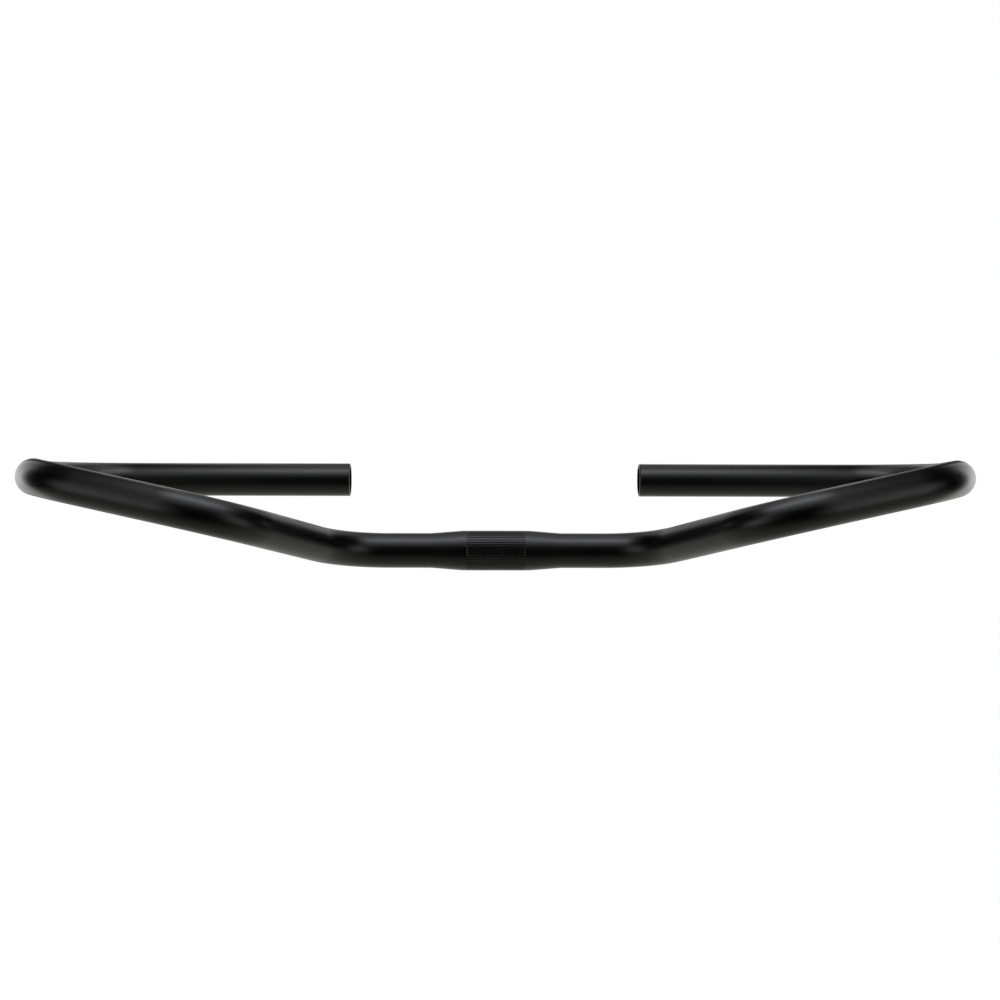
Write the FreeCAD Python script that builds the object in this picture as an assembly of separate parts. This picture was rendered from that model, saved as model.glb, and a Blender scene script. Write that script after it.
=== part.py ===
import FreeCAD, Part
import math
import os
from FreeCAD import Vector

# Bent butterfly handlebar: one tube, symmetric about X = 0. The origin is the centre of the stem
# clamp, X runs along the clamp, the grips lie on the rider's side at +Y, and Z is up. Millimetres.

# Tube
tube_od = 22.2
wall = 2.0
end_chamfer = 1.2
bore_chamfer = 0.4

# Thickened centre that the stem clamps
clamp_od = 25.4
clamp_length = 43.0
taper_length = 20.0
taper_blend = 60.0

# Straight knurl pressed into the clamp
knurl_length = 37.0
knurl_count = 48
knurl_depth = 0.3
knurl_width = 0.45

# Bends: one bending radius, and the points where the straight legs of the right half would meet
bend_radius = 50.0
clamp_leg = 98.5
apex_out = 159.0
apex_forward = 115.0
apex_rise = 21.5
wing_front_out = 277.0
wing_front_forward = 83.5
wing_rear_out = 299.5
grip_back = 72.5
grip_rise = 46.0
grip_gap = 196.5

clamp_corner = Vector(clamp_leg, 0, 0)
apex_corner = Vector(apex_out, -apex_forward, apex_rise)
wing_front_corner = Vector(wing_front_out, -wing_front_forward, grip_rise)
wing_rear_corner = Vector(wing_rear_out, grip_back, grip_rise)
grip_end = Vector(grip_gap / 2, grip_back, grip_rise)

along_x = Vector(1, 0, 0)
origin = Vector(0, 0, 0)
touching = 1e-3


def rounded(points, radius):
    """Edges of the straight legs through the points, every inner corner rounded to the radius."""
    edges = []
    start = points[0]
    for before, corner, after in zip(points, points[1:], points[2:]):
        back = (before - corner).normalize()
        ahead = (after - corner).normalize()
        half_angle = back.getAngle(ahead) / 2
        trim = radius / math.tan(half_angle)
        middle = (back + ahead).normalize() * (radius / math.sin(half_angle) - radius)
        arc_start = corner + back * trim
        arc_end = corner + ahead * trim
        edges.append(Part.makeLine(start, arc_start))
        edges.append(Part.Arc(arc_start, corner + middle, arc_end).toShape())
        start = arc_end
    edges.append(Part.makeLine(start, points[-1]))
    return edges


# Centreline of the right half, from the clamp centre to the open end
half_path = rounded([origin, clamp_corner, apex_corner, wing_front_corner, wing_rear_corner, grip_end],
                    bend_radius)
clamp_run = half_path[0].Length
wing_path = Part.Wire(half_path[1:])
wing_start = Vector(clamp_run, 0, 0)


def bar_form(tube_radius, clamp_radius):
    """Solid round bar along the whole centreline, swelling to the clamp radius in the middle."""
    swell_end = clamp_length / 2 + taper_length
    outline = rounded([Vector(-clamp_run, tube_radius, 0),
                       Vector(-swell_end, tube_radius, 0),
                       Vector(-clamp_length / 2, clamp_radius, 0),
                       Vector(clamp_length / 2, clamp_radius, 0),
                       Vector(swell_end, tube_radius, 0),
                       Vector(clamp_run, tube_radius, 0)], taper_blend)
    outline += Part.makePolygon([Vector(clamp_run, tube_radius, 0),
                                 wing_start,
                                 -wing_start,
                                 Vector(-clamp_run, tube_radius, 0)]).Edges
    centre = Part.Face(Part.Wire(outline)).revolve(origin, along_x, 360)
    section = Part.Wire(Part.Circle(wing_start, along_x, tube_radius).toShape())
    wing = wing_path.makePipeShell([section], True, False)
    return centre.fuse([wing, wing.mirror(origin, along_x)]).removeSplitter()


outside = bar_form(tube_od / 2, clamp_od / 2)
bore = bar_form(tube_od / 2 - wall, clamp_od / 2 - wall)
bar = outside.cut(bore)


def rims(shape, radius):
    """Circles of the given radius round the two open ends."""
    return [edge for edge in shape.Edges
            if isinstance(edge.Curve, Part.Circle)
            and abs(edge.Curve.Radius - radius) < touching
            and abs(abs(edge.Curve.Center.x) - grip_end.x) < touching
            and abs(edge.Curve.Center.y - grip_end.y) < touching]


# Both rims of each open end are broken, the outer one wider
bar = bar.makeChamfer(end_chamfer, rims(bar, tube_od / 2))
bar = bar.makeChamfer(bore_chamfer, rims(bar, tube_od / 2 - wall))

# Straight knurl: V-shaped grooves along the clamp, evenly spaced round it, with a land at the top
clamp_radius = clamp_od / 2
knurl_start = -knurl_length / 2
groove_outline = Part.makePolygon([Vector(knurl_start, 0, clamp_radius - knurl_depth),
                                   Vector(knurl_start, knurl_width, clamp_radius + knurl_depth),
                                   Vector(knurl_start, -knurl_width, clamp_radius + knurl_depth),
                                   Vector(knurl_start, 0, clamp_radius - knurl_depth)])
groove = Part.Face(groove_outline).extrude(along_x * knurl_length)
grooves = []
for index in range(knurl_count):
    turned = groove.copy()
    turned.rotate(origin, along_x, (index + 0.5) * 360 / knurl_count)
    grooves.append(turned)
bar = bar.cut(grooves)

os.makedirs("parts", exist_ok=True)
bar.exportStep("parts/handlebar_tube.step")
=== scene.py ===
import logging
import math
from dataclasses import dataclass, field, replace
from enum import Enum
from typing import Any

import bmesh
import bpy
from mathutils import Matrix, Vector


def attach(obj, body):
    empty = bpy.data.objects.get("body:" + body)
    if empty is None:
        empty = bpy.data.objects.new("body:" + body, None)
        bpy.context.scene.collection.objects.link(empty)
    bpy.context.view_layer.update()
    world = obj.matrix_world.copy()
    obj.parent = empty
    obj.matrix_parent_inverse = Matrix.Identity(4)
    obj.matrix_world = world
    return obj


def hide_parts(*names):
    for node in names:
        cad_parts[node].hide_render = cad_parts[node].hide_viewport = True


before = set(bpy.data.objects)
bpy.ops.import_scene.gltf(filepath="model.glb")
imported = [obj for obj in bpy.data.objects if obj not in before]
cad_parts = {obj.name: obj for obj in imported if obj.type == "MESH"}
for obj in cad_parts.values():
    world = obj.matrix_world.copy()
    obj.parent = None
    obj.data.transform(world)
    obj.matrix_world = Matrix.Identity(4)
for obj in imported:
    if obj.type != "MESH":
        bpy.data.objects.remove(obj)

LOG = logging.getLogger("butterfly_handlebar")
MM = 0.001
WHITE = (1.0, 1.0, 1.0)
NO_GRID = 180.0


class Skin(Enum):
    """The skins of the tube's wall, in the order of their materials."""

    OUTSIDE = 0
    BORE = 1
    RIM = 2


class RingPoint(Enum):
    """The points of one knurl pitch on a ring, in their order round it."""

    BOTTOM = 0
    RIGHT_EDGE = 1
    LAND = 2
    LEFT_EDGE = 3


class NodeDesk:
    """Places nodes in one node tree and links their sockets by name."""

    SPACING = 180

    def __init__(self, tree: bpy.types.NodeTree) -> None:
        """Keep the tree that is worked on.

        Args:
            tree: the shader or geometry node tree.
        """
        self.tree = tree
        self.column = 0

    def add(self, kind: str, inputs: dict[Any, Any] | None = None, **settings: Any) -> bpy.types.Node:
        """Add one node, set its properties and feed its inputs.

        Args:
            kind: the node's type name.
            inputs: socket name or number to an output socket or a plain value.
            settings: the node's own properties.

        Returns:
            The new node.
        """
        node = self.tree.nodes.new(kind)
        node.location = (self.SPACING * self.column, 0)
        self.column += 1
        for name, value in settings.items():
            setattr(node, name, value)
        for key, value in (inputs or {}).items():
            socket = node.inputs[key]
            if isinstance(value, bpy.types.NodeSocket):
                self.tree.links.new(value, socket)
            else:
                socket.default_value = value
        return node

    def math(self, operation: str, first: Any, second: Any = 0.0, third: Any = 0.0) -> bpy.types.NodeSocket:
        """Add one Math node.

        Args:
            operation: the node's operation.
            first: first value or socket.
            second: second value or socket.
            third: third value or socket.

        Returns:
            The result socket.
        """
        node = self.add("ShaderNodeMath", {0: first, 1: second, 2: third}, operation=operation)
        return node.outputs[0]

    def vector(self, operation: str, inputs: dict[Any, Any]) -> bpy.types.NodeSocket:
        """Add one Vector Math node and return its vector.

        Args:
            operation: the node's operation.
            inputs: socket name or number to an output socket or a plain value.

        Returns:
            The result socket.
        """
        node = self.add("ShaderNodeVectorMath", inputs, operation=operation)
        return node.outputs["Vector"]

    def ramp(self, value: Any, low: Any, high: Any) -> bpy.types.NodeSocket:
        """Map a value between two limits to the range 0 to 1, clamped.

        Args:
            value: the value's socket.
            low: the value that gives 0.
            high: the value that gives 1.

        Returns:
            The result socket.
        """
        node = self.add("ShaderNodeMapRange", {"Value": value, "From Min": low, "From Max": high})
        return node.outputs["Result"]


class FineGrain:
    """Shader group shared by every finish of the bar: fine grain and slow, soft mottling."""

    NAME = "fine_grain"
    MOTTLE_LIMITS = (0.3, 0.7)

    @classmethod
    def group(cls) -> bpy.types.NodeTree:
        """Return the group, built on first use.

        Returns:
            The shader node group.
        """
        if cls.NAME in bpy.data.node_groups:
            return bpy.data.node_groups[cls.NAME]
        tree = bpy.data.node_groups.new(cls.NAME, "ShaderNodeTree")
        face = tree.interface
        for label, way in (("Grain Scale", "INPUT"), ("Mottle Scale", "INPUT"),
                           ("Height", "OUTPUT"), ("Mottle", "OUTPUT")):
            face.new_socket(label, in_out=way, socket_type="NodeSocketFloat")
        desk = NodeDesk(tree)
        given = desk.add("NodeGroupInput")
        place = desk.add("ShaderNodeTexCoord").outputs["Object"]
        grain = desk.add("ShaderNodeTexNoise", {"Vector": place, "Scale": given.outputs["Grain Scale"],
                                                "Detail": 2.0, "Roughness": 0.55})
        mottle = desk.add("ShaderNodeTexNoise", {"Vector": place, "Scale": given.outputs["Mottle Scale"],
                                                 "Detail": 3.0, "Roughness": 0.6})
        even = desk.ramp(mottle.outputs["Fac"], *cls.MOTTLE_LIMITS)
        desk.add("NodeGroupOutput", {"Height": grain.outputs["Fac"], "Mottle": even})
        return tree


@dataclass(frozen=True)
class Finish:
    """A black finish of the bar.

    Attributes:
        name: material name.
        dark: base colour in the darker patches.
        light: base colour in the lighter patches.
        smooth: roughness of the smoother patches.
        rough: roughness of the rougher patches.
        ior: refractive index of the finish.
        grain_scale: grains per metre.
        mottle_scale: soft patches per metre.
        relief: height of the grain in metres.
        worn: attribute that is 1 where edges are rubbed, or an empty name.
        worn_colour: base colour where rubbed.
    """

    name: str
    dark: tuple[float, float, float]
    light: tuple[float, float, float]
    smooth: float
    rough: float
    ior: float
    grain_scale: float
    mottle_scale: float
    relief: float
    worn: str = ""
    worn_colour: tuple[float, float, float] = (0.02, 0.02, 0.02)

    def material(self) -> bpy.types.Material:
        """Build the material.

        Returns:
            The material with all its nodes.
        """
        material = bpy.data.materials.new(self.name)
        material.use_nodes = True
        tree = material.node_tree
        tree.nodes.clear()
        desk = NodeDesk(tree)
        grain = desk.add("ShaderNodeGroup", node_tree=FineGrain.group())
        grain.inputs["Grain Scale"].default_value = self.grain_scale
        grain.inputs["Mottle Scale"].default_value = self.mottle_scale
        tone = desk.add("ShaderNodeMix", {"Factor": grain.outputs["Mottle"], "A": (*self.dark, 1.0),
                                          "B": (*self.light, 1.0)}, data_type="RGBA").outputs["Result"]
        if self.worn:
            mask = desk.add("ShaderNodeAttribute", attribute_name=self.worn).outputs["Fac"]
            patchy = desk.math("MULTIPLY", mask, grain.outputs["Height"])
            tone = desk.add("ShaderNodeMix", {"Factor": patchy, "A": tone, "B": (*self.worn_colour, 1.0)},
                            data_type="RGBA").outputs["Result"]
        gloss = desk.add("ShaderNodeMapRange", {"Value": grain.outputs["Mottle"], "To Min": self.smooth,
                                                "To Max": self.rough}).outputs["Result"]
        bump = desk.add("ShaderNodeBump", {"Height": grain.outputs["Height"], "Strength": 1.0,
                                           "Distance": self.relief})
        shader = desk.add("ShaderNodeBsdfPrincipled", {"Base Color": tone, "Roughness": gloss,
                                                       "Normal": bump.outputs["Normal"], "IOR": self.ior})
        desk.add("ShaderNodeOutputMaterial", {"Surface": shader.outputs["BSDF"]})
        return material


SATIN_BLACK = Finish("satin_black_coat", dark=(0.0008, 0.0008, 0.0009), light=(0.0014, 0.0014, 0.0015),
                     smooth=0.28, rough=0.32, ior=1.5, grain_scale=2200.0, mottle_scale=60.0,
                     relief=1.2e-6, worn="knurl_crest", worn_colour=(0.012, 0.012, 0.012))
DULL_BORE = Finish("dull_bore", dark=(0.004, 0.004, 0.004), light=(0.01, 0.01, 0.009),
                   smooth=0.5, rough=0.7, ior=1.45, grain_scale=900.0, mottle_scale=120.0, relief=8.0e-6)
CUT_RIM = Finish("cut_rim", dark=(0.004, 0.004, 0.004), light=(0.012, 0.012, 0.012),
                 smooth=0.3, rough=0.42, ior=1.5, grain_scale=2600.0, mottle_scale=400.0, relief=3.0e-6)


@dataclass
class SweepTree:
    """Geometry Nodes tree that sweeps one round skin along the bar's corner points."""

    name: str = "bent_tube_skin"
    inputs: dict[str, str] = field(default_factory=dict)

    ON_AXIS = 0.01 * MM
    SAME_NUMBER = 0.1
    SIZES = (("Bend Radius", "NodeSocketFloat"), ("Bend Steps", "NodeSocketInt"),
             ("Clamp Steps", "NodeSocketInt"), ("Tube Radius", "NodeSocketFloat"),
             ("Clamp Radius", "NodeSocketFloat"), ("Clamp Length", "NodeSocketFloat"),
             ("Taper Length", "NodeSocketFloat"), ("Taper Blend", "NodeSocketFloat"),
             ("Knurl Count", "NodeSocketInt"), ("Knurl Length", "NodeSocketFloat"),
             ("Knurl Runout", "NodeSocketFloat"), ("Knurl Width", "NodeSocketFloat"),
             ("Knurl Depth", "NodeSocketFloat"), ("Material", "NodeSocketMaterial"))

    def build(self) -> bpy.types.NodeTree:
        """Build the tree and note the identifier of every named input.

        Returns:
            The geometry node tree.
        """
        tree = bpy.data.node_groups.new(self.name, "GeometryNodeTree")
        face = tree.interface
        face.new_socket("Geometry", in_out="INPUT", socket_type="NodeSocketGeometry")
        for label, kind in self.SIZES:
            self.inputs[label] = face.new_socket(label, in_out="INPUT", socket_type=kind).identifier
        face.new_socket("Geometry", in_out="OUTPUT", socket_type="NodeSocketGeometry")
        desk = NodeDesk(tree)
        given = desk.add("NodeGroupInput").outputs
        path = self._path(desk, given)
        ring = self._ring(desk, given)
        skin = desk.add("GeometryNodeCurveToMesh", {"Curve": path, "Profile Curve": ring}).outputs["Mesh"]
        skin = self._radii(desk, given, skin)
        skin = desk.add("GeometryNodeRealizeInstances", {"Geometry": skin}).outputs["Geometry"]
        skin = desk.add("GeometryNodeSetMaterial", {"Geometry": skin, "Material": given["Material"]})
        desk.add("NodeGroupOutput", {"Geometry": skin.outputs["Geometry"]})
        return tree

    @staticmethod
    def _read(desk: NodeDesk, name: str, kind: str) -> bpy.types.NodeSocket:
        """Read a stored attribute.

        Args:
            desk: the tree's desk.
            name: the attribute's name.
            kind: its data type.

        Returns:
            The attribute's socket.
        """
        node = desk.add("GeometryNodeInputNamedAttribute", {"Name": name}, data_type=kind)
        return node.outputs["Attribute"]

    @staticmethod
    def _store(desk: NodeDesk, geometry: Any, name: str, kind: str, value: Any) -> bpy.types.NodeSocket:
        """Store a value on the points.

        Args:
            desk: the tree's desk.
            geometry: the geometry's socket.
            name: the attribute's name.
            kind: its data type.
            value: the value's socket.

        Returns:
            The geometry's socket.
        """
        node = desk.add("GeometryNodeStoreNamedAttribute",
                        {"Geometry": geometry, "Name": name, "Value": value}, data_type=kind, domain="POINT")
        return node.outputs["Geometry"]

    def _path(self, desk: NodeDesk, given: Any) -> bpy.types.NodeSocket:
        """Round the corners of the centreline, divide the clamp run and store each point's place.

        Args:
            desk: the tree's desk.
            given: the group's input sockets.

        Returns:
            The path's socket.
        """
        bent = desk.add("GeometryNodeFilletCurve",
                        {"Curve": given["Geometry"], "Count": given["Bend Steps"],
                         "Radius": given["Bend Radius"]}, mode="POLY").outputs["Curve"]
        position = desk.add("GeometryNodeInputPosition").outputs[0]
        spot = desk.add("ShaderNodeSeparateXYZ", {0: position}).outputs
        off_axis = desk.math("ADD", desk.math("ABSOLUTE", spot["Y"]), desk.math("ABSOLUTE", spot["Z"]))
        # The point that the clamp run starts from is the only one on the clamp's axis at -X
        on_clamp = desk.math("MULTIPLY", desk.math("LESS_THAN", off_axis, self.ON_AXIS),
                             desk.math("LESS_THAN", spot["X"], 0.0))
        cuts = desk.math("MULTIPLY", on_clamp, given["Clamp Steps"])
        cut = desk.add("GeometryNodeSubdivideCurve", {"Curve": bent, "Cuts": cuts}).outputs["Curve"]
        cut = desk.add("GeometryNodeSetCurveNormal", {"Curve": cut}, mode="Z_UP").outputs["Curve"]
        length = desk.add("GeometryNodeCurveLength", {"Curve": cut}).outputs["Length"]
        travelled = desk.add("GeometryNodeSplineParameter").outputs["Length"]
        along = desk.math("SUBTRACT", travelled, desk.math("MULTIPLY", length, 0.5))
        cut = self._store(desk, cut, "along", "FLOAT", along)
        return self._store(desk, cut, "axis_point", "FLOAT_VECTOR", position)

    def _ring(self, desk: NodeDesk, given: Any) -> bpy.types.NodeSocket:
        """Make the unit ring, with a groove's bottom, its two edges and the land in every knurl pitch.

        Args:
            desk: the tree's desk.
            given: the group's input sockets.

        Returns:
            The ring's socket.
        """
        points = float(len(RingPoint))
        count = desk.math("MULTIPLY", given["Knurl Count"], points)
        ring = desk.add("GeometryNodeCurvePrimitiveCircle", {"Resolution": count, "Radius": 1.0},
                        mode="RADIUS").outputs["Curve"]
        index = desk.add("GeometryNodeInputIndex").outputs[0]
        step = desk.math("MODULO", index, points)
        groove = desk.math("FLOOR", desk.math("DIVIDE", index, points))
        pitch = desk.math("DIVIDE", math.tau, given["Knurl Count"])
        half_width = desk.math("MULTIPLY", given["Knurl Width"], 0.5)
        half_groove = desk.math("DIVIDE", half_width, given["Clamp Radius"])
        turn = desk.math("MULTIPLY", desk.math("ADD", groove, 0.5), pitch)
        for point, extra in ((RingPoint.RIGHT_EDGE, half_groove),
                             (RingPoint.LAND, desk.math("MULTIPLY", pitch, 0.5)),
                             (RingPoint.LEFT_EDGE, desk.math("SUBTRACT", pitch, half_groove))):
            turn = desk.math("MULTIPLY_ADD", self._is_point(desk, step, point), extra, turn)
        place = desk.add("ShaderNodeCombineXYZ",
                         {"X": desk.math("COSINE", turn), "Y": desk.math("SINE", turn)}).outputs[0]
        placed = desk.add("GeometryNodeSetPosition", {"Geometry": ring, "Position": place})
        return self._store(desk, placed.outputs["Geometry"], "ring_step", "FLOAT", step)

    def _is_point(self, desk: NodeDesk, step: Any, point: RingPoint) -> bpy.types.NodeSocket:
        """Return 1 where a ring's step is the given point, and 0 elsewhere."""
        return desk.math("COMPARE", step, float(point.value), self.SAME_NUMBER)

    def _radii(self, desk: NodeDesk, given: Any, skin: Any) -> bpy.types.NodeSocket:
        """Bring every ring to its radius: tube, taper, clamp and knurl grooves.

        Args:
            desk: the tree's desk.
            given: the group's input sockets.
            skin: the swept mesh's socket.

        Returns:
            The shaped mesh's socket.
        """
        along = desk.math("ABSOLUTE", self._read(desk, "along", "FLOAT"))
        clamp_end = desk.math("MULTIPLY", given["Clamp Length"], 0.5)
        swell = desk.math("SUBTRACT", given["Tube Radius"], given["Clamp Radius"])
        slope = desk.math("DIVIDE", swell, given["Taper Length"])
        past_clamp = desk.math("SUBTRACT", along, clamp_end)
        cone = desk.math("MULTIPLY_ADD", past_clamp, slope, given["Clamp Radius"])
        radius = desk.math("SMOOTH_MIN", cone, given["Clamp Radius"], given["Taper Blend"])
        radius = desk.math("SMOOTH_MAX", radius, given["Tube Radius"], given["Taper Blend"])
        knurl_end = desk.math("MULTIPLY", given["Knurl Length"], 0.5)
        in_knurl = desk.ramp(along, knurl_end, desk.math("SUBTRACT", knurl_end, given["Knurl Runout"]))
        bottom = self._is_point(desk, self._read(desk, "ring_step", "FLOAT"), RingPoint.BOTTOM)
        groove = desk.math("MULTIPLY", in_knurl, bottom)
        radius = desk.math("SUBTRACT", radius, desk.math("MULTIPLY", groove, given["Knurl Depth"]))
        centre = self._read(desk, "axis_point", "FLOAT_VECTOR")
        position = desk.add("GeometryNodeInputPosition").outputs[0]
        spoke = desk.vector("SUBTRACT", {0: position, 1: centre})
        spoke = desk.vector("NORMALIZE", {0: spoke})
        spoke = desk.vector("SCALE", {0: spoke, "Scale": radius})
        place = desk.vector("ADD", {0: centre, 1: spoke})
        placed = desk.add("GeometryNodeSetPosition", {"Geometry": skin, "Position": place})
        crest = desk.math("MULTIPLY", in_knurl, desk.math("SUBTRACT", 1.0, bottom))
        shaped = self._store(desk, placed.outputs["Geometry"], "knurl_crest", "FLOAT", crest)
        smooth = desk.add("GeometryNodeSetShadeSmooth", {"Geometry": shaped, "Shade Smooth": True})
        return smooth.outputs["Geometry"]


@dataclass
class HandlebarTube:
    """The whole bar: one bent tube with a thickened, knurled centre and open ends. Sizes in metres."""

    tube_radius: float = 11.1 * MM
    wall: float = 2.0 * MM
    clamp_radius: float = 12.7 * MM
    clamp_length: float = 43.0 * MM
    taper_length: float = 20.0 * MM
    taper_blend: float = 0.25 * MM
    knurl_length: float = 37.0 * MM
    knurl_count: int = 48
    knurl_width: float = 0.64 * MM
    knurl_depth: float = 0.42 * MM
    knurl_runout: float = 0.7 * MM
    rim_round: float = 1.2 * MM
    bore_round: float = 0.4 * MM
    rim_hold: float = 2.0 * MM
    bend_radius: float = 50.0 * MM
    clamp_corner: tuple[float, float, float] = (98.5 * MM, 0.0, 0.0)
    apex_corner: tuple[float, float, float] = (159.0 * MM, -115.0 * MM, 21.5 * MM)
    wing_front_corner: tuple[float, float, float] = (277.0 * MM, -83.5 * MM, 46.0 * MM)
    wing_rear_corner: tuple[float, float, float] = (299.5 * MM, 72.5 * MM, 46.0 * MM)
    grip_end: tuple[float, float, float] = (98.25 * MM, 72.5 * MM, 46.0 * MM)
    bend_steps: int = 24
    bore_bend_steps: int = 8
    clamp_steps: int = 140
    bore_clamp_steps: int = 17
    rim_steps: int = 5
    sharp_angle: float = math.radians(24.0)

    def corners(self) -> list[Vector]:
        """Return the corner points of the whole centreline.

        Returns:
            The points from the end at -X to the end at +X.
        """
        right = [Vector(p) for p in (self.clamp_corner, self.apex_corner, self.wing_front_corner,
                                     self.wing_rear_corner, self.grip_end)]
        left = [Vector((-p.x, p.y, p.z)) for p in reversed(right)]
        return left + right

    def build(self) -> bpy.types.Object:
        """Sweep both skins, close the ends and return the finished piece.

        Returns:
            The tube's object, at the origin.
        """
        sweep = SweepTree()
        tree = sweep.build()
        finishes = {Skin.OUTSIDE: SATIN_BLACK, Skin.BORE: DULL_BORE, Skin.RIM: CUT_RIM}
        materials = {skin: finishes[skin].material() for skin in Skin}
        swept = {skin: self._swept(skin, sweep, tree, materials[skin]) for skin in (Skin.OUTSIDE, Skin.BORE)}
        mesh = self._joined(swept, list(materials.values()))
        tube = bpy.data.objects.new("bent_tube", mesh)
        bpy.context.scene.collection.objects.link(tube)
        return tube

    def _swept(self, skin: Skin, sweep: SweepTree, tree: bpy.types.NodeTree,
               material: bpy.types.Material) -> bpy.types.Mesh:
        """Sweep one skin along the centreline.

        Args:
            skin: which skin.
            sweep: the tree's input names.
            tree: the geometry node tree.
            material: the skin's material.

        Returns:
            The skin as a plain mesh.
        """
        label = skin.name.lower()
        curve = bpy.data.curves.new(f"centreline_{label}", "CURVE")
        curve.dimensions = "3D"
        spline = curve.splines.new("POLY")
        corners = self.corners()
        spline.points.add(len(corners) - 1)
        for point, corner in zip(spline.points, corners):
            point.co = (*corner, 1.0)
        carrier = bpy.data.objects.new(f"sweep_{label}", curve)
        bpy.context.scene.collection.objects.link(carrier)
        inside = skin is Skin.BORE
        thinner = self.wall if inside else 0.0
        sizes = {"Bend Radius": self.bend_radius,
                 "Bend Steps": self.bore_bend_steps if inside else self.bend_steps,
                 "Clamp Steps": self.bore_clamp_steps if inside else self.clamp_steps,
                 "Tube Radius": self.tube_radius - thinner, "Clamp Radius": self.clamp_radius - thinner,
                 "Clamp Length": self.clamp_length, "Taper Length": self.taper_length,
                 "Taper Blend": self.taper_blend, "Knurl Count": self.knurl_count,
                 "Knurl Length": self.knurl_length, "Knurl Runout": self.knurl_runout,
                 "Knurl Width": self.knurl_width, "Knurl Depth": 0.0 if inside else self.knurl_depth,
                 "Material": material}
        modifier = carrier.modifiers.new("sweep", "NODES")
        modifier.node_group = tree
        for size, value in sizes.items():
            modifier[sweep.inputs[size]] = value
        graph = bpy.context.evaluated_depsgraph_get()
        mesh = bpy.data.meshes.new_from_object(carrier.evaluated_get(graph))
        carrier.modifiers.remove(modifier)
        bpy.data.objects.remove(carrier)
        bpy.data.curves.remove(curve)
        return mesh

    @staticmethod
    def _open_end(work: bmesh.types.BMesh, side: float) -> list[bmesh.types.BMEdge]:
        """Return the open edges of both skins at the end on one side, -1 for -X and 1 for +X."""
        return [e for e in work.edges if e.is_boundary and side * e.verts[0].co.x > 0]

    def _joined(self, swept: dict[Skin, bpy.types.Mesh],
                materials: list[bpy.types.Material]) -> bpy.types.Mesh:
        """Join the two skins, close both ends with a rim and break the rim's edges.

        Args:
            swept: the two swept meshes.
            materials: materials in the order of the skins.

        Returns:
            One closed mesh.
        """
        work = bmesh.new()
        for skin, mesh in swept.items():
            before = len(work.faces)
            work.from_mesh(mesh)
            work.faces.ensure_lookup_table()
            for face in work.faces[before:]:
                face.material_index = skin.value
                face.smooth = True
        for side in (-1.0, 1.0):
            # A ring of edges just inside the end keeps the rim's rounding from shading the whole run
            last = {f for e in self._open_end(work, side) for f in e.link_faces}
            parts = last | {e for f in last for e in f.edges} | {v for f in last for v in f.verts}
            bmesh.ops.bisect_plane(work, geom=list(parts), plane_no=(1.0, 0.0, 0.0),
                                   plane_co=(side * (self.grip_end[0] + self.rim_hold), 0.0, 0.0))
            for face in bmesh.ops.bridge_loops(work, edges=self._open_end(work, side))["faces"]:
                face.material_index = Skin.RIM.value
                face.smooth = True
        for skin, offset in ((Skin.OUTSIDE, self.rim_round), (Skin.BORE, self.bore_round)):
            border = {skin.value, Skin.RIM.value}
            rim = [e for e in work.edges if {f.material_index for f in e.link_faces} == border]
            bmesh.ops.bevel(work, geom=rim, offset=offset, segments=self.rim_steps, profile=0.5,
                            affect="EDGES", material=Skin.RIM.value, clamp_overlap=True)
        bmesh.ops.recalc_face_normals(work, faces=work.faces)
        mesh = bpy.data.meshes.new("bent_tube")
        work.to_mesh(mesh)
        work.free()
        for material in materials:
            mesh.materials.append(material)
        mesh.set_sharp_from_angle(angle=self.sharp_angle)
        return mesh

    def dress(self, tube: bpy.types.Object) -> None:
        """Put the finished tube in the place of its solid.

        Args:
            tube: the tube's object.
        """
        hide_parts("handlebar_tube")
        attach(tube, "root")


@dataclass
class PhotoCamera:
    """Camera of the photograph: level, close to the middle and a little above the clamp.

    Attributes:
        distance: metres in front of the clamp.
        sideways: metres that it is shifted to its right.
        height: metres above the clamp.
        yaw: radians that it is swung round the clamp, positive towards +X.
        roll: radians that its right side is raised.
        focal_pixels: focal length in pixels of the photograph.
        image_pixels: width of the photograph in pixels.
        sensor: width of the sensor in millimetres.
    """

    distance: float = 1.1
    sideways: float = 2.52 * MM
    height: float = 32.37 * MM
    yaw: float = -0.0153
    roll: float = 0.002
    focal_pixels: float = 1717.6
    image_pixels: float = 1000.0
    sensor: float = 36.0

    def build(self) -> bpy.types.Object:
        """Place the camera and make it the scene's own.

        Returns:
            The camera's object.
        """
        data = bpy.data.cameras.new("photo_camera")
        data.sensor_fit = "HORIZONTAL"
        data.sensor_width = self.sensor
        data.lens = self.sensor * self.focal_pixels / self.image_pixels
        camera = bpy.data.objects.new("photo_camera", data)
        side = Vector((math.cos(self.yaw), math.sin(self.yaw), 0.0))
        ahead = Vector((-math.sin(self.yaw), math.cos(self.yaw), 0.0))
        up = Vector((0.0, 0.0, 1.0))
        right = side * math.cos(self.roll) + up * math.sin(self.roll)
        above = up * math.cos(self.roll) - side * math.sin(self.roll)
        place = -ahead * self.distance + side * self.sideways + up * self.height
        turned = Matrix((right, above, -ahead)).transposed().to_4x4()
        turned.translation = place
        camera.matrix_world = turned
        bpy.context.scene.collection.objects.link(camera)
        bpy.context.scene.camera = camera
        return camera


def direction(azimuth: float, elevation: float) -> Vector:
    """Return the unit vector of a direction seen from the bar.

    Args:
        azimuth: degrees from the camera's side, positive towards +X.
        elevation: degrees above the level.

    Returns:
        The unit vector.
    """
    turn, rise = math.radians(azimuth), math.radians(elevation)
    return Vector((math.sin(turn) * math.cos(rise), -math.cos(turn) * math.cos(rise), math.sin(rise)))


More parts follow.
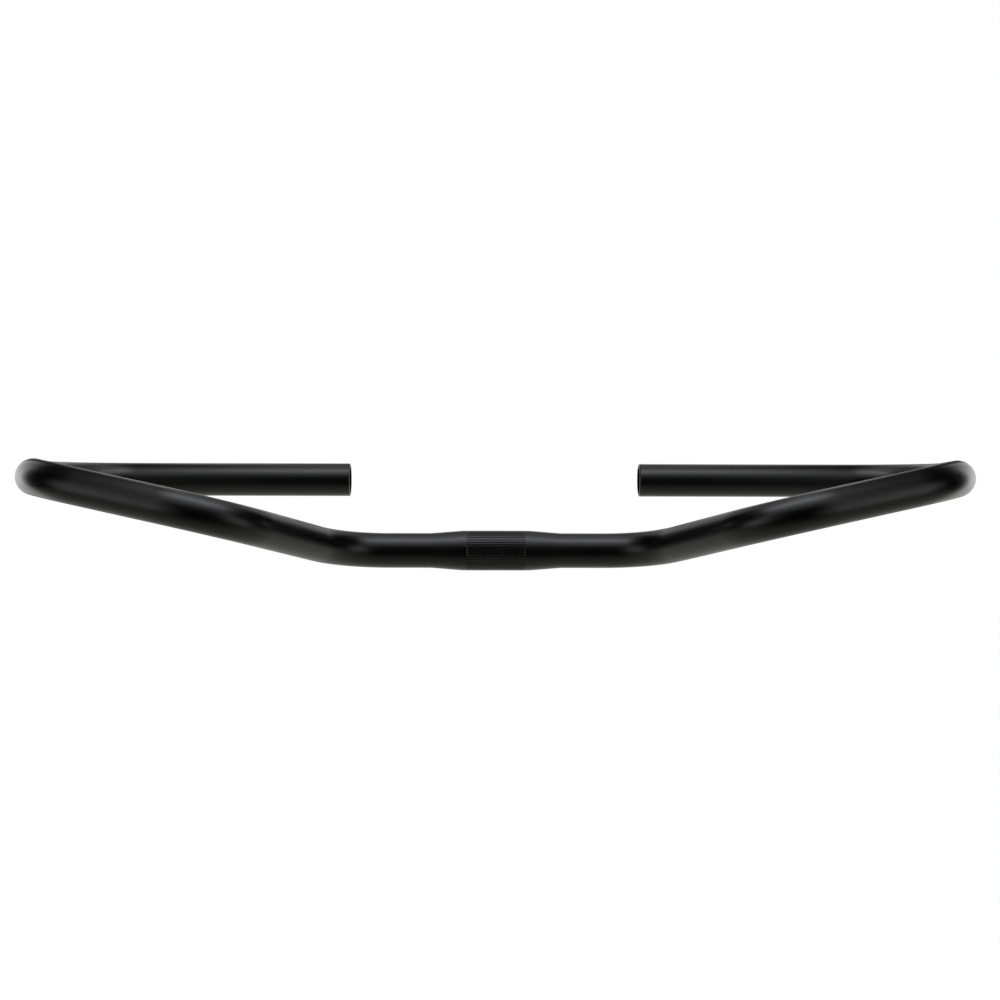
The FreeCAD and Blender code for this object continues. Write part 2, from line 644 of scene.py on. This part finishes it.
def fade(inside: float, feather: float) -> float:
    """Return how much of a feathered edge covers at a distance inside it.

    Args:
        inside: distance inside the edge, negative outside.
        feather: width of the edge, which is half covered in its middle.

    Returns:
        0 outside to 1 inside, smooth in between.
    """
    share = min(1.0, max(0.0, inside / feather + 0.5))
    return share * share * (3.0 - 2.0 * share)


@dataclass(frozen=True)
class SoftBox:
    """A soft studio lamp, with or without a grid that narrows its light.

    Attributes:
        name: the lamp's name.
        azimuth: degrees from the camera's side.
        elevation: degrees above the level.
        distance: metres from the bar.
        width: metres across.
        height: metres from front to back.
        level: brightness of its face seen straight on, where 1 is white.
        tint: colour of its light.
        aim: the point that it faces.
        grid: degrees of the cone that its grid lets out.
    """

    name: str
    azimuth: float
    elevation: float
    distance: float
    width: float
    height: float
    level: float
    tint: tuple[float, float, float] = WHITE
    aim: tuple[float, float, float] = (0.0, 0.0, 0.0)
    grid: float = NO_GRID

    def pair(self) -> tuple["SoftBox", "SoftBox"]:
        """Return this lamp of the right side with its mirror image.

        Returns:
            The left lamp and the right one, with the side added to their names.
        """
        out, forward, up = self.aim
        return (replace(self, name=f"{self.name}_left", azimuth=-self.azimuth, aim=(-out, forward, up)),
                replace(self, name=f"{self.name}_right"))

    def build(self) -> bpy.types.Object:
        """Place the lamp.

        Returns:
            The lamp's object.
        """
        data = bpy.data.lights.new(self.name, "AREA")
        data.shape = "RECTANGLE"
        data.size = self.width
        data.size_y = self.height
        data.color = self.tint
        data.spread = math.radians(self.grid)
        data.energy = self.level * math.pi * self.width * self.height * self._let_out()
        lamp = bpy.data.objects.new(self.name, data)
        spot = direction(self.azimuth, self.elevation) * self.distance
        lamp.location = spot
        lamp.rotation_euler = (Vector(self.aim) - spot).to_track_quat("-Z", "Y").to_euler()
        lamp.visible_camera = False
        bpy.context.scene.collection.objects.link(lamp)
        return lamp

    def _let_out(self) -> float:
        """Return the share of the bare face's light that the grid lets out.

        Returns:
            1 without a grid, less with one.
        """
        half = math.radians(self.grid / 2)
        return 1.0 if self.grid >= NO_GRID else 1.0 - half / math.tan(half)


@dataclass(frozen=True)
class StudioCard:
    """A card or cloth of the studio that the bar mirrors, with feathered edges. The camera looks past it.

    Attributes:
        name: the card's name.
        azimuth: degrees of its left and right edge, seen from the bar.
        elevation: degrees of its lower and upper edge.
        distance: metres from the bar.
        feather: degrees over which an edge fades out.
        front_level: brightness on the camera's side, where 1 is white.
        rear_level: brightness on the far side.
        tint: colour.
        step: degrees between the points of its mesh.
    """

    name: str
    azimuth: tuple[float, float]
    elevation: tuple[float, float]
    distance: float
    feather: float
    front_level: float = 0.0
    rear_level: float = 0.0
    tint: tuple[float, float, float] = WHITE
    step: float = 4.0

    ZENITH = 90.0

    def pair(self) -> tuple["StudioCard", "StudioCard"]:
        """Return this card of the right side with its mirror image.

        Returns:
            The left card and the right one, with the side added to their names.
        """
        inner, outer = self.azimuth
        return (replace(self, name=f"{self.name}_left", azimuth=(-outer, -inner)),
                replace(self, name=f"{self.name}_right"))

    def build(self) -> bpy.types.Object:
        """Hang the card as a patch of a ball round the bar.

        Returns:
            The card's object.
        """
        turns = self._stops(*self.azimuth, math.inf)
        rises = self._stops(*self.elevation, self.ZENITH)
        mesh = bpy.data.meshes.new(self.name)
        corners = [direction(turn, rise) * self.distance for rise in rises for turn in turns]
        wide = len(turns)
        faces = [(k, k + 1, k + wide + 1, k + wide) for row in range(len(rises) - 1)
                 for k in range(row * wide, row * wide + wide - 1)]
        mesh.from_pydata(corners, [], faces)
        cover = mesh.attributes.new("cover", "FLOAT", "POINT")
        level = mesh.attributes.new("level", "FLOAT", "POINT")
        for number, (rise, turn) in enumerate((rise, turn) for rise in rises for turn in turns):
            cover.data[number].value = self._cover(turn, *self.azimuth) * self._cover(rise, *self.elevation)
            forward = 0.5 - 0.5 * corners[number].y / self.distance
            level.data[number].value = self.rear_level + (self.front_level - self.rear_level) * forward
        mesh.materials.append(self._material())
        card = bpy.data.objects.new(self.name, mesh)
        card.visible_camera = False
        card.visible_diffuse = False
        card.visible_shadow = False
        bpy.context.scene.collection.objects.link(card)
        return card

    def _stops(self, low: float, high: float, limit: float) -> list[float]:
        """Return evenly spaced angles from one feathered edge to the other.

        Args:
            low: the lower edge in degrees.
            high: the upper edge in degrees.
            limit: the largest angle that makes sense.

        Returns:
            The angles in degrees.
        """
        first = max(-limit, low - self.feather / 2)
        last = min(limit, high + self.feather / 2)
        count = math.ceil((last - first) / self.step)
        return [first + (last - first) * k / count for k in range(count + 1)]

    def _cover(self, angle: float, low: float, high: float) -> float:
        """Return the cover at an angle between two feathered edges."""
        return fade(angle - low, self.feather) * fade(high - angle, self.feather)

    def _material(self) -> bpy.types.Material:
        """Return the card's material: its own brightness where it covers, and clear beyond.

        Returns:
            The material.
        """
        material = bpy.data.materials.new(self.name)
        material.use_nodes = True
        material.node_tree.nodes.clear()
        desk = NodeDesk(material.node_tree)
        level = desk.add("ShaderNodeAttribute", attribute_name="level").outputs["Fac"]
        cover = desk.add("ShaderNodeAttribute", attribute_name="cover").outputs["Fac"]
        glow = desk.add("ShaderNodeEmission", {"Color": (*self.tint, 1.0), "Strength": level})
        clear = desk.add("ShaderNodeBsdfTransparent")
        both = desk.add("ShaderNodeMixShader", {0: cover, 1: clear.outputs[0], 2: glow.outputs[0]})
        desk.add("ShaderNodeOutputMaterial", {"Surface": both.outputs[0]})
        return material


@dataclass
class Studio:
    """Pale floor, white room, softboxes and the cards that the bar mirrors. Sizes in metres."""

    floor_drop: float = 0.9
    floor_size: float = 30.0
    floor_tone: float = 0.85
    floor_glow: float = 1.31
    shadow_share: float = 0.3
    ambient: float = 0.35

    SIDE_GRID = 84.0
    LAMPS = (SoftBox("overhead_softbox", azimuth=0.0, elevation=71.3, distance=0.62, width=0.58, height=0.3,
                     level=1.66, tint=(0.97, 0.98, 1.07)),
             *SoftBox("front_side_softbox", azimuth=95.0, elevation=7.3, distance=0.453, width=0.065,
                      height=0.34, level=4.0, aim=(0.261, -0.196, 0.04), grid=SIDE_GRID).pair(),
             *SoftBox("back_side_softbox", azimuth=102.4, elevation=8.3, distance=0.402, width=0.085,
                      height=0.34, level=2.0, aim=(0.202, -0.149, 0.04), grid=SIDE_GRID).pair())
    CARDS = (StudioCard("cloth_round_camera", azimuth=(-36.0, 36.0), elevation=(-35.5, 37.0),
                        distance=0.83, feather=36.0),
             *StudioCard("valance", azimuth=(48.5, 112.0), elevation=(13.5, 50.0),
                         distance=0.84, feather=21.0).pair(),
             *StudioCard("flag", azimuth=(65.0, 149.0), elevation=(-18.0, 67.0),
                         distance=0.85, feather=20.0).pair(),
             StudioCard("table_card", azimuth=(-186.0, 186.0), elevation=(-130.0, -14.0), distance=0.86,
                        feather=10.0, front_level=0.145, rear_level=0.74, tint=(1.0, 0.99, 0.9)),
             StudioCard("rear_card", azimuth=(158.0, 202.0), elevation=(27.0, 69.0), distance=0.87,
                        feather=12.0, front_level=0.31, rear_level=0.31))

    def build(self) -> None:
        """Set up the floor, the world, the lamps, the cards and the view settings."""
        self._floor()
        self._world()
        for lamp in self.LAMPS:
            lamp.build()
        for card in self.CARDS:
            card.build()
        bpy.context.scene.view_settings.view_transform = "Standard"

    @staticmethod
    def _seen(desk: NodeDesk) -> bpy.types.NodeSocket:
        """Return 1 for the rays that see the surroundings: camera, glossy and transmission rays.

        Args:
            desk: the material's or world's desk.

        Returns:
            The mask's socket.
        """
        path = desk.add("ShaderNodeLightPath").outputs
        mirrored = desk.math("MAXIMUM", path["Is Glossy Ray"], path["Is Transmission Ray"])
        return desk.math("MAXIMUM", path["Is Camera Ray"], mirrored)

    def _floor(self) -> None:
        """Lay the pale floor, which keeps the bar's shadow."""
        half = self.floor_size / 2
        plan = ((-half, -half), (half, -half), (half, half), (-half, half))
        corners = [(x, y, -self.floor_drop) for x, y in plan]
        mesh = bpy.data.meshes.new("pale_floor")
        mesh.from_pydata(corners, [], [(0, 1, 2, 3)])
        material = bpy.data.materials.new("pale_floor")
        material.use_nodes = True
        material.node_tree.nodes.clear()
        desk = NodeDesk(material.node_tree)
        paper = desk.add("ShaderNodeBsdfDiffuse", {"Color": (self.floor_tone,) * 3 + (1.0,)})
        glow = desk.add("ShaderNodeEmission", {"Color": (*WHITE, 1.0), "Strength": self.floor_glow})
        share = desk.math("MULTIPLY", self._seen(desk), 1.0 - self.shadow_share)
        both = desk.add("ShaderNodeMixShader", {0: share, 1: paper.outputs[0], 2: glow.outputs[0]})
        desk.add("ShaderNodeOutputMaterial", {"Surface": both.outputs[0]})
        mesh.materials.append(material)
        floor = bpy.data.objects.new("pale_floor", mesh)
        bpy.context.scene.collection.objects.link(floor)

    def _world(self) -> None:
        """Make the surroundings white to the eye and in reflections, and plain as light."""
        world = bpy.data.worlds.new("white_surroundings")
        bpy.context.scene.world = world
        world.use_nodes = True
        world.node_tree.nodes.clear()
        desk = NodeDesk(world.node_tree)
        plain = desk.add("ShaderNodeBackground", {"Color": (*WHITE, 1.0), "Strength": self.ambient})
        white = desk.add("ShaderNodeBackground", {"Color": (*WHITE, 1.0), "Strength": 1.0})
        seen = self._seen(desk)
        both = desk.add("ShaderNodeMixShader", {0: seen, 1: plain.outputs[0], 2: white.outputs[0]})
        desk.add("ShaderNodeOutputWorld", {"Surface": both.outputs[0]})


def main() -> None:
    """Build the bar and its studio in order."""
    logging.basicConfig(level=logging.INFO, format="%(name)s: %(message)s")
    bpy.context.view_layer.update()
    bar = HandlebarTube()
    tube = bar.build()
    bar.dress(tube)
    LOG.info("%s: %d faces", tube.name, len(tube.data.polygons))
    Studio().build()
    PhotoCamera().build()
    LOG.info("studio and camera placed")


if __name__ == "__main__":
    main()
